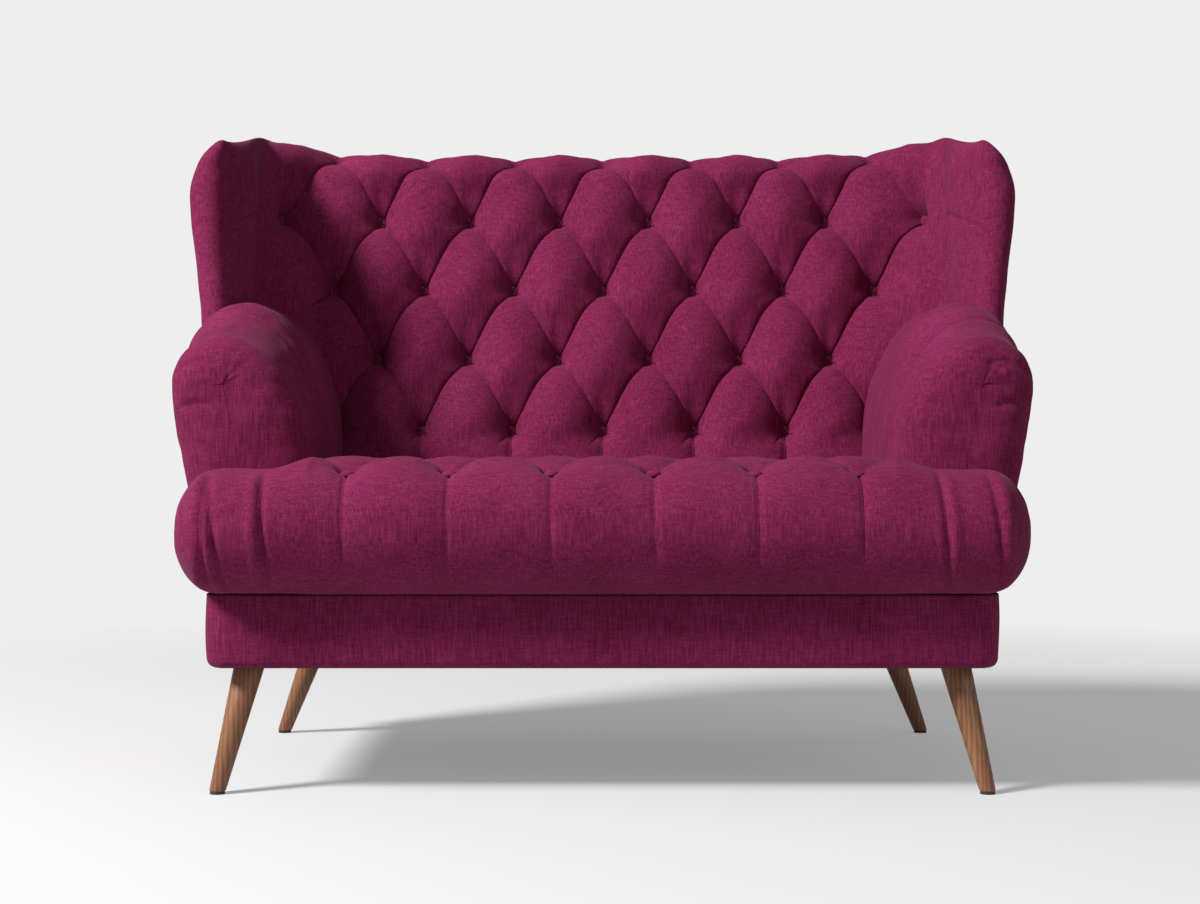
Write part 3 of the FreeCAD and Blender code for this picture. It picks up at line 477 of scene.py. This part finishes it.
# Seat: one long pad whose front is a half round bolster that wraps round in front of the arms. Buttons
# along the bolster pull pleats back across the seat, and a fine pull line runs from each down the front.
SEAT_RADIUS = 0.0984
SEAT_LOW = 0.2925
SEAT_UNDER = 0.07
SEAT_UNDER_Y = -0.262
NOSE_LINE = SEAT_UNDER_Y - SEAT_UNDER
SEAT_TOP = SEAT_UNDER + math.pi * SEAT_RADIUS
SEAT_STEP = 0.074
SEAT_ROW = 0.359
SEAT_NEXT = 0.491
END_FROM = 0.559
END_LONG = 0.062
END_RUN = END_LONG * 1.35
SEAT_HALF = END_FROM + END_RUN
SEAT_LONG = SEAT_TOP + 0.49
SEAT_BEHIND = SEAT_TOP + 0.060
ARM_INSIDE = 0.447
END_REAR = -0.2715
SEAT_BUTTON_DEEP = 0.021


def seat_surface(u, v):
    """The seat's cloth: u across with the ends turning in, v from under the bolster up and back."""
    arc = np.clip((v - SEAT_UNDER) / SEAT_RADIUS, 0, math.pi)
    y = SEAT_UNDER_Y - np.minimum(v, SEAT_UNDER) - SEAT_RADIUS * np.sin(arc)
    y = y + np.clip(v - SEAT_TOP, 0, None)
    z = SEAT_RADIUS * (1 - np.cos(arc)) - 0.012 * np.clip((v - 0.45) / 0.4, 0, 1)
    side = np.sign(u)
    reach = np.abs(u)
    drop = 0.016 * smooth_step(reach, 0.415, 0.50)
    z = z * (1 - drop / (2 * SEAT_RADIUS))
    turn = np.clip((reach - END_FROM) / END_RUN, 0, 1) * math.pi / 2
    k = np.cos(turn) ** 0.92
    middle = SEAT_RADIUS * 0.9
    z = middle + (z - middle) * k
    y = np.where(y < NOSE_LINE, NOSE_LINE + (y - NOSE_LINE) * k, y)
    x = side * (np.minimum(reach, END_FROM) + END_LONG * np.sin(turn))
    return np.stack([x, y, SEAT_LOW + z], -1)


def seat_cloth(u, v):
    """The seat's cloth with its pleats, pits, pull lines and the folds at its ends."""
    p = u / SEAT_STEP
    over = smooth_step(v, 0.10, 0.20)
    middle = (1 - smooth_step(np.abs(u), 0.40, 0.47))
    odd = wave((p + 1) / 2) * 2 * SEAT_STEP
    even = wave(p / 2) * 2 * SEAT_STEP
    q = (v - SEAT_ROW) / (SEAT_NEXT - SEAT_ROW)
    front = (1 - smooth_step(q, -0.05, 0.12)) * over
    # Down the front a shallow channel and one fine pull line run from each button of the first row.
    near_button = 1 + 1.6 * smooth_step(v, 0.22, 0.35)
    down = 0.0042 * front * middle * (1 - round_off(np.abs(odd), 0.07)) * near_button
    fine = 0.0042 * np.exp(-(odd / 0.0028) ** 2) + 0.0012 * np.exp(-((odd + 0.011) / 0.003) ** 2)
    down += fine * front * middle * smooth_step(v, 0.10, 0.30)
    # Between the two rows pleats make diamonds, and from the second row they run straight back.
    rising = wave((p - q + 1) / 2) * 0.124
    falling = wave((p + q + 1) / 2) * 0.124
    lattice = smooth_step(q, -0.02, 0.10) * (1 - smooth_step(q, 0.96, 1.1)) * middle
    down += lattice * 0.014 * (1 - round_off(np.abs(rising), 0.058))
    down += lattice * 0.011 * (1 - round_off(np.abs(falling), 0.05))
    behind = smooth_step(q, 0.98, 1.12) * (1 - smooth_step(q, 1.9, 2.6)) * middle
    down += behind * 0.012 * (1 - round_off(np.abs(even), 0.06))
    # Each button sinks a pit with small puckers round it.
    for off, row_at, row_half in ((odd, SEAT_ROW, 0.42), (even, SEAT_NEXT, 0.35)):
        dv = v - row_at
        reach = np.hypot(off, dv)
        near = np.abs(u) < row_half
        pucker = 0.0012 * np.cos(7 * np.arctan2(dv, off) + u * 31) * np.exp(-reach / 0.022)
        down += near * (0.013 * np.exp(-(reach / 0.016) ** 2) + 0.010 * np.exp(-(reach / 0.042) ** 2))
        down += near * pucker * smooth_step(reach, 0.004, 0.012)
    down -= 0.004 * np.sin(math.pi * np.clip(v / 0.9, 0, 1)) * middle * (1 - front)
    down += 0.0016 * wander(u, v, 0.17, 1.9) * over + 0.0007 * wander(u, v, 0.06, 3.3) * over
    # Spare cloth is folded upright where the bolster turns round its ends, unlike on the two sides.
    for place, slant, deep in ((-0.484, 0.05, 0.0042), (-0.556, 0.10, 0.0040), (-0.567, 0.02, 0.0036),
                               (0.486, -0.05, 0.0038), (0.560, -0.06, 0.0040)):
        off = u - place - slant * (0.26 - v) * np.sign(-place)
        window = smooth_step(v, 0.075, 0.15) * (1 - smooth_step(v, 0.30, 0.37))
        raised = np.exp(-((off - np.sign(place) * 0.012) / 0.009) ** 2)
        down += window * 1.7 * deep * (np.exp(-(off / 0.0042) ** 2) - 0.55 * raised)
    down = down * (1 - smooth_step(np.abs(u), SEAT_HALF - 0.03, SEAT_HALF - 0.006))
    place = seat_surface(u, v) - outward(seat_surface, u, v) * down[:, None]
    low = seat_surface(u, SEAT_UNDER + 0 * v)[:, 2]
    behind = (np.abs(u) > ARM_INSIDE) & (v > SEAT_BEHIND)
    place[:, 1] = np.where(behind, END_REAR, place[:, 1])
    place[:, 2] = np.where(behind, np.maximum(place[:, 2] - 0.9 * (v - SEAT_BEHIND), low), place[:, 2])
    return place


bm = bmesh.new()
bmesh.ops.create_grid(bm, x_segments=320, y_segments=196, size=0.5)
for point in bm.verts:
    point.co = (point.co.x * 2 * SEAT_HALF, (point.co.y + 0.5) * SEAT_LONG, 0)
moved(bm, seat_cloth)
bmesh.ops.remove_doubles(bm, verts=bm.verts[:], dist=0.0003)
bmesh.ops.recalc_face_normals(bm, faces=bm.faces[:])
if sum(face.normal.z for face in bm.faces) < 0:
    bmesh.ops.reverse_faces(bm, faces=bm.faces[:])
seat = laid_out("seat", bm, linen)
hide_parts("seat_cover", "seat_foam")

# Arms: thick foam rolled over the arm frame and covered in one cloth, drawn round the front in tucks; two
# deep creases run over the arm where the cloth behind the front roll is pulled down inside.
ARM_FRONT = -0.270
ARM_LOW = 0.2925
ARM_INNER_X = 0.4403
SHOULDER_FROM = 0.470
CREST_Z = 0.675
ROLL_X = 0.572
ROLL_RADIUS = 0.078
ARM_RISE = 0.064
ARM_DOME = 0.046
FACE_RUN = 0.13
END_CLOSE = 0.12
ARM_BACK = FACE_RUN + 0.580
LOOP_POINTS = 241
CORE_FOOT = (0.515, 0.34)
CORE_WAY = (0.05, 0.26)


def arm_loop(count):
    """Places round an arm's section and how much each climbs towards the back, evenly spaced."""
    turn = np.radians(np.linspace(0, 90, 40))
    roll = np.radians(np.linspace(90, -15, 60))[1:]
    inner_x = ROLL_X - (ROLL_X - ARM_INNER_X) * np.cos(turn)
    inner_z = SHOULDER_FROM + (CREST_Z - SHOULDER_FROM) * np.sin(turn)
    outer_x = ROLL_X + ROLL_RADIUS * np.cos(roll)
    outer_z = CREST_Z - ROLL_RADIUS + ROLL_RADIUS * np.sin(roll)
    x = np.concatenate([[ARM_INNER_X, ARM_INNER_X], inner_x, outer_x, [0.640, 0.596]])
    z = np.concatenate([[ARM_LOW, 0.40], inner_z, outer_z, [0.520, ARM_LOW]])
    climb = np.concatenate([[0, 0.05], 0.2 + 0.8 * np.sin(turn), np.ones(len(roll)), [0.7, 0]])
    step = np.concatenate([[0], np.cumsum(np.hypot(np.diff(x), np.diff(z)))])
    even = np.linspace(0, step[-1], count)
    soft = [np.interp(even, step, values) for values in (x, z, climb)]
    for values in soft:
        for smoothing in range(14):
            values[1:-1] = 0.25 * values[:-2] + 0.5 * values[1:-1] + 0.25 * values[2:]
    return soft


LOOP_AT = np.linspace(0, 1, LOOP_POINTS)
LOOP_X, LOOP_Z, LOOP_CLIMB = arm_loop(LOOP_POINTS)


def arm_surface(a, b):
    """The arm's cloth: a runs round the section from its inner foot, b back from the middle of the front."""
    x = np.interp(a, LOOP_AT, LOOP_X)
    z = np.interp(a, LOOP_AT, LOOP_Z)
    climb = np.interp(a, LOOP_AT, LOOP_CLIMB)
    nearest = (x - CORE_FOOT[0]) * CORE_WAY[0] + (z - CORE_FOOT[1]) * CORE_WAY[1]
    share = np.clip(nearest / (CORE_WAY[0] ** 2 + CORE_WAY[1] ** 2), -0.18, 1)
    core_x = CORE_FOOT[0] + CORE_WAY[0] * share
    core_z = CORE_FOOT[1] + CORE_WAY[1] * share
    k = np.clip(b / FACE_RUN, 0, 1) * np.clip((ARM_BACK + END_CLOSE - b) / END_CLOSE, 0, 1)
    bend = np.clip((k - 0.12) / 0.88, 0, 1)
    dome = ARM_DOME * (1 - np.sqrt(np.clip(1 - bend ** 2.6, 0, 1)))
    dome = np.where(b > FACE_RUN, ARM_DOME, dome)
    y = ARM_FRONT + dome + np.clip(np.minimum(b, ARM_BACK) - FACE_RUN, 0, None)
    rise = ARM_RISE * smooth_step(y, -0.24, 0.0) * climb
    return np.stack([core_x + (x - core_x) * k, y, core_z + (z - core_z) * k + rise], -1)


FRONT_TUCKS = [([(0.642, 0.618), (0.625, 0.628), (0.597, 0.636), (0.566, 0.628)], 0.0026, 0.0055),
               ([(0.640, 0.560), (0.626, 0.566), (0.606, 0.572), (0.580, 0.566)], 0.0032, 0.0048)]


def arm_cloth(a, b, hand):
    """The arm's cloth with its creases and tucks; hand makes the two arms a little different."""
    place = arm_surface(a, b)
    x, y, z = place.T
    across = np.stack([arm_surface(a + 0.002, b) - arm_surface(a - 0.002, b),
                       arm_surface(a, b + 0.002) - arm_surface(a, b - 0.002)])
    normal = np.cross(across[0], across[1])
    size = np.linalg.norm(normal, axis=1)
    ahead = np.array([[0, -1.0, 0]])
    normal = np.where(size[:, None] > 1e-9, normal / np.maximum(size, 1e-9)[:, None], ahead)
    whole = smooth_step(b, 0.012, 0.060)[:, None]
    normal = normal * whole + ahead * (1 - whole)
    normal = normal / np.linalg.norm(normal, axis=1)[:, None]
    down = 0.0018 * wander(a * 1.1, b, 0.15, 2.0 + hand)
    down += 0.0008 * wander(a * 1.1, b, 0.055, 3.7 + hand)
    front = 1 - smooth_step(y, -0.20, -0.16)
    for line, deep, wide in FRONT_TUCKS:
        down += front * tuck(x, z, line, deep, wide)
    # Two creases cross the top of the arm behind its front roll, each with cloth bunched ahead of it.
    top = smooth_step(a, 0.10, 0.26) * (1 - smooth_step(a, 0.60, 0.70))
    for offset, deep in ((-0.135 + 0.020 * hand, 0.0070), (-0.062, 0.0045)):
        curve = offset + 0.050 * (a - 0.30) - 0.022 * np.sin(a * 7 + hand)
        off = y - curve
        down += top * deep * np.exp(-(np.abs(off) / 0.0095) ** 1.5)
        down -= top * 0.4 * deep * np.exp(-((off + 0.022) / 0.018) ** 2)
    return place - normal * down[:, None]


for side, name, hand in ((1, "right_arm", 0.0), (-1, "left_arm", 1.0)):
    bm = bmesh.new()
    bmesh.ops.create_grid(bm, x_segments=240, y_segments=176, size=0.5)
    moved(bm, lambda across, back: arm_cloth(across + 0.5, (back + 0.5) * (ARM_BACK + END_CLOSE), hand))
    if side < 0:
        bmesh.ops.scale(bm, vec=(-1, 1, 1), verts=bm.verts[:])
    bmesh.ops.remove_doubles(bm, verts=bm.verts[:], dist=0.0002)
    middle = Vector((side * 0.53, 0, 0.5))
    bmesh.ops.recalc_face_normals(bm, faces=bm.faces[:])
    if sum((face.calc_center_median() - middle).dot(face.normal) for face in bm.faces) < 0:
        bmesh.ops.reverse_faces(bm, faces=bm.faces[:])
    arm = laid_out(name, bm, linen)
    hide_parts(name + "_cover", name + "_foam")

# Base band: cloth over thin wadding round the frame, with soft corners and its lower edge turned under.
BAND_CORNER = 0.034
BAND_LOW = 0.184
BAND_HIGH = 0.2915
EDGE_RADIUS = 0.012
EDGE_TURNED = 0.025
EDGE_ROUND = EDGE_TURNED + 0.0189


def band_cloth(a, b):
    """The band's cloth: a runs round the frame, b from the tacked lower edge up."""
    half_x, front, rear = 0.580 - BAND_CORNER, -0.345 + BAND_CORNER, 0.362 - BAND_CORNER
    quarter = BAND_CORNER * math.pi / 2
    half_round = [2 * half_x, quarter, rear - front, quarter]
    runs = np.cumsum([0] + half_round + half_round)
    w = (a + 0.5) * runs[-1]
    x = np.interp(w, runs, [-half_x, half_x, half_x, half_x, half_x, -half_x, -half_x, -half_x, -half_x])
    y = np.interp(w, runs, [front, front, front, rear, rear, rear, rear, front, front])
    way = np.interp(w, runs, [-90, -90, 0, 0, 90, 90, 180, 180, 270])
    out_x, out_y = np.cos(np.radians(way)), np.sin(np.radians(way))
    v = (b + 0.5) * 0.145
    under = np.clip((EDGE_ROUND - v) / EDGE_RADIUS, 0, math.pi / 2)
    inset = np.clip(EDGE_TURNED - v, 0, None)
    z = BAND_LOW + np.clip(v - EDGE_ROUND, 0, None) + EDGE_RADIUS * (1 - np.sin(under))
    puff = 0.0018 * np.sin(math.pi * np.clip((v - 0.04) / 0.11, 0, 1)) + 0.0009 * wander(w, v, 0.13, 2.2)
    out = BAND_CORNER - EDGE_RADIUS * (1 - np.cos(under)) - inset + puff
    return np.stack([x + out_x * out, y + out_y * out, np.minimum(z, BAND_HIGH)], -1)


bm = bmesh.new()
bmesh.ops.create_grid(bm, x_segments=360, y_segments=30, size=0.5)
moved(bm, band_cloth)
bmesh.ops.remove_doubles(bm, verts=bm.verts[:], dist=0.0001)
bmesh.ops.recalc_face_normals(bm, faces=bm.faces[:])
if sum(face.calc_center_median().dot(face.normal) for face in bm.faces) < 0:
    bmesh.ops.reverse_faces(bm, faces=bm.faces[:])
band = laid_out("base_band_cloth", bm, linen)
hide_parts("base_band")

# Buttons: metal moulds covered in the same cloth, drawn down on twine to the bottom of their pits.
BUTTON_RADIUS = 0.0108
BUTTON_FLAT = 0.52


def covered_button(bm, place, outwards):
    """One button with a low domed face."""
    turn = Vector(outwards).to_track_quat("Z", "Y").to_matrix().to_4x4()
    shape = Matrix.Translation(place) @ turn @ Matrix.Diagonal((1, 1, BUTTON_FLAT, 1))
    bmesh.ops.create_uvsphere(bm, u_segments=20, v_segments=10, radius=BUTTON_RADIUS, matrix=shape)


bm = bmesh.new()
for row, count in enumerate((8, 7, 6, 7)):
    for index in range(count):
        w = np.array([(index - (count - 1) / 2) * 2 * HALF_PITCH])
        t = np.array([-row * ROW])
        facing = outward(back_surface, w, t)[0]
        covered_button(bm, back_surface(w, t)[0] - facing * BUTTON_DEEP, facing)
back_buttons = laid_out("back_pad_buttons", bm, linen)
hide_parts("back_buttons")
bm = bmesh.new()
for v, count in ((SEAT_ROW, 6), (SEAT_NEXT, 5)):
    for index in range(count):
        u = np.array([(index - (count - 1) / 2) * 2 * SEAT_STEP])
        facing = outward(seat_surface, u, np.array([v]))[0]
        covered_button(bm, seat_surface(u, np.array([v]))[0] - facing * SEAT_BUTTON_DEEP, facing)
seat_buttons = laid_out("seat_pad_buttons", bm, linen)
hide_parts("seat_buttons")

# Legs: turned walnut, tapering to a small foot, splayed out, with softened rims and a satin oil finish.


def timber(name, light, dark, rough):
    """Straight grained wood with fine pores and slow bands of colour."""
    wood = Finish(name)
    ring = wood.noise(26, (1, 1, 0.10), 4.0)
    pore = wood.noise(330, (1, 1, 0.05), 2.0, 2.2)
    drawn_out = wood.node("ShaderNodeMapping", {}, {"Vector": wood.place, "Scale": (1, 1, 0.12)})
    band = wood.node("ShaderNodeTexWave", {"wave_type": "BANDS"},
                     {"Vector": drawn_out, "Scale": 46.0, "Distortion": 5.0, "Detail": 2.0}, 1)
    tone = (0.45 * ring + 0.30 * pore + 0.25 * band).clamp()
    shades = {"stops": [(0.25, dark), (0.75, light)]}
    wood.set(Base_Color=wood.node("ShaderNodeValToRGB", shades, {0: tone}),
             Roughness=(rough + (0.5 - tone) * 0.15))
    wood.bump(tone, 0.0004, 0.35)
    return wood.material


LEG_LONG = 0.180
LEG_LOW = 0.004
FOOT_X = 0.562
walnut = timber("oiled_walnut", (0.335, 0.150, 0.070), (0.135, 0.048, 0.020), 0.42)
for end, top_x, top_y, foot_y in (("front", 0.522, -0.284, -0.328), ("rear", 0.492, 0.298, 0.332)):
    for name, side in (("left", -1), ("right", 1)):
        bm = bmesh.new()
        bmesh.ops.create_cone(bm, cap_ends=True, segments=56, radius1=0.012, radius2=0.023, depth=LEG_LONG)
        rims = [edge for edge in bm.edges if abs(edge.verts[0].co.z - edge.verts[1].co.z) < 0.001]
        bmesh.ops.bevel(bm, geom=rims, offset=0.0022, affect="EDGES", segments=3, profile=0.5, material=-1)
        lean_x = side * (top_x - FOOT_X) / LEG_LONG
        lean_y = (top_y - foot_y) / LEG_LONG
        for point in bm.verts:
            up = point.co.z + LEG_LONG / 2
            x = point.co.x + side * FOOT_X + lean_x * up
            y = point.co.y + foot_y + lean_y * up
            point.co = (x, y, LEG_LOW + up)
        leg = laid_out("%s_%s_walnut_leg" % (end, name), bm, walnut)
        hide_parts("%s_%s_leg" % (end, name))

# Everything else is carried over: frame timber, steel plates, bolts and screws, webbing, twine, the black
# dust cloth under the seat and the glides on the feet.


def plain(name, colour, rough, metal, grain, deep):
    """A finish with fine uneven grain."""
    made = Finish(name)
    tone = made.noise(grain, (1, 1, 1), 3.0)
    dark = tuple(value * 0.72 for value in colour)
    shades = {"stops": [(0.3, dark), (0.7, colour)]}
    made.set(Base_Color=made.node("ShaderNodeValToRGB", shades, {0: tone}),
             Roughness=(rough + (tone - 0.5) * 0.1))
    made.shader.inputs["Metallic"].default_value = metal
    made.bump(tone, deep, 0.4)
    return made.material


finishes = {"frame_timber": timber("frame_birch", (0.62, 0.46, 0.28), (0.44, 0.30, 0.16), 0.6),
            "frame_steel": plain("plated_steel", (0.56, 0.56, 0.58), 0.35, 1.0, 300, 0.0001),
            "glide_plastic": plain("black_glide", (0.030, 0.030, 0.032), 0.5, 0.0, 400, 0.0002),
            "black_cloth": plain("dust_cloth", (0.022, 0.022, 0.024), 0.95, 0.0, 900, 0.0006),
            "webbing": plain("jute_webbing", (0.36, 0.29, 0.19), 0.9, 0.0, 700, 0.0008),
            "cushion_filling": plain("pale_foam", (0.80, 0.74, 0.55), 0.9, 0.0, 500, 0.0008),
            "twine": plain("waxed_twine", (0.10, 0.010, 0.040), 0.8, 0.0, 900, 0.0004),
            "magenta_upholstery": linen}
for entry in frame["record"]["subparts"]:
    node = frame["nodes"][entry["node"]]
    node.data.materials.clear()
    node.data.materials.append(finishes.get(entry["material_slot"], walnut))

# A pale floor that runs into the pale room, a soft lamp high on the left, a weak one on the right.
paper = Finish("pale_floor")
far = paper.node("ShaderNodeVectorMath", {"operation": "LENGTH"}, {0: paper.place}, 1)
edge = (0.30 + ((far - 1.5) * 0.5).clamp()).clamp()
paper.set(Base_Color=(0.72, 0.72, 0.72, 1), Roughness=0.9)
paper.shader.inputs["Specular IOR Level"].default_value = 0.1
clear_edge = paper.node("ShaderNodeBsdfTransparent", {}, {})
solid = Value(paper, paper.shader.outputs[0])
blend_edge = paper.node("ShaderNodeMixShader", {}, {0: edge, 1: solid, 2: clear_edge})
paper.feed(paper.tree.nodes["Material Output"].inputs["Surface"], blend_edge)
bm = bmesh.new()
bmesh.ops.create_circle(bm, segments=64, radius=3.4, cap_ends=True)
floor_mesh = bpy.data.meshes.new("floor")
bm.to_mesh(floor_mesh)
bm.free()
floor_mesh.materials.append(paper.material)
floor = bpy.data.objects.new("floor", floor_mesh)
bpy.context.scene.collection.objects.link(floor)

ROOM_LIGHT = 0.22
ROOM_SEEN = 0.855
world = bpy.data.worlds.new("room")
bpy.context.scene.world = world
world.use_nodes = True
tree = world.node_tree
seen = tree.nodes.new("ShaderNodeLightPath")
shade = tree.nodes.new("ShaderNodeMath")
shade.operation = "MULTIPLY_ADD"
shade.inputs[1].default_value = ROOM_SEEN - ROOM_LIGHT
shade.inputs[2].default_value = ROOM_LIGHT
tree.links.new(seen.outputs["Is Camera Ray"], shade.inputs[0])
tree.links.new(shade.outputs[0], tree.nodes["Background"].inputs["Strength"])
tree.nodes["Background"].inputs["Color"].default_value = (1, 1, 1, 1)


def lamp(name, place, aim, wide, watts):
    """A round soft lamp that faces a place."""
    light = bpy.data.lights.new(name, "AREA")
    light.shape = "DISK"
    light.size = wide
    light.energy = watts
    fixture = bpy.data.objects.new(name, light)
    fixture.location = place
    fixture.rotation_euler = (Vector(aim) - Vector(place)).to_track_quat("-Z", "Y").to_euler()
    bpy.context.scene.collection.objects.link(fixture)


lamp("left_lamp", (-5.4, -3.1, 5.6), (0, 0, 0.5), 2.0, 960)
lamp("right_lamp", (4.6, -4.2, 2.4), (0, 0, 0.5), 3.5, 45)

camera = bpy.data.objects.new("camera", bpy.data.cameras.new("camera"))
camera.data.lens = 63.87
camera.data.sensor_width = 36
camera.data.shift_x = -0.0021
camera.data.shift_y = -0.0075
camera.location = (0, -3.435, 0.5119)
camera.rotation_euler = (math.pi / 2, 0, 0)
bpy.context.scene.collection.objects.link(camera)
bpy.context.scene.camera = camera
bpy.context.scene.view_settings.view_transform = "Standard"
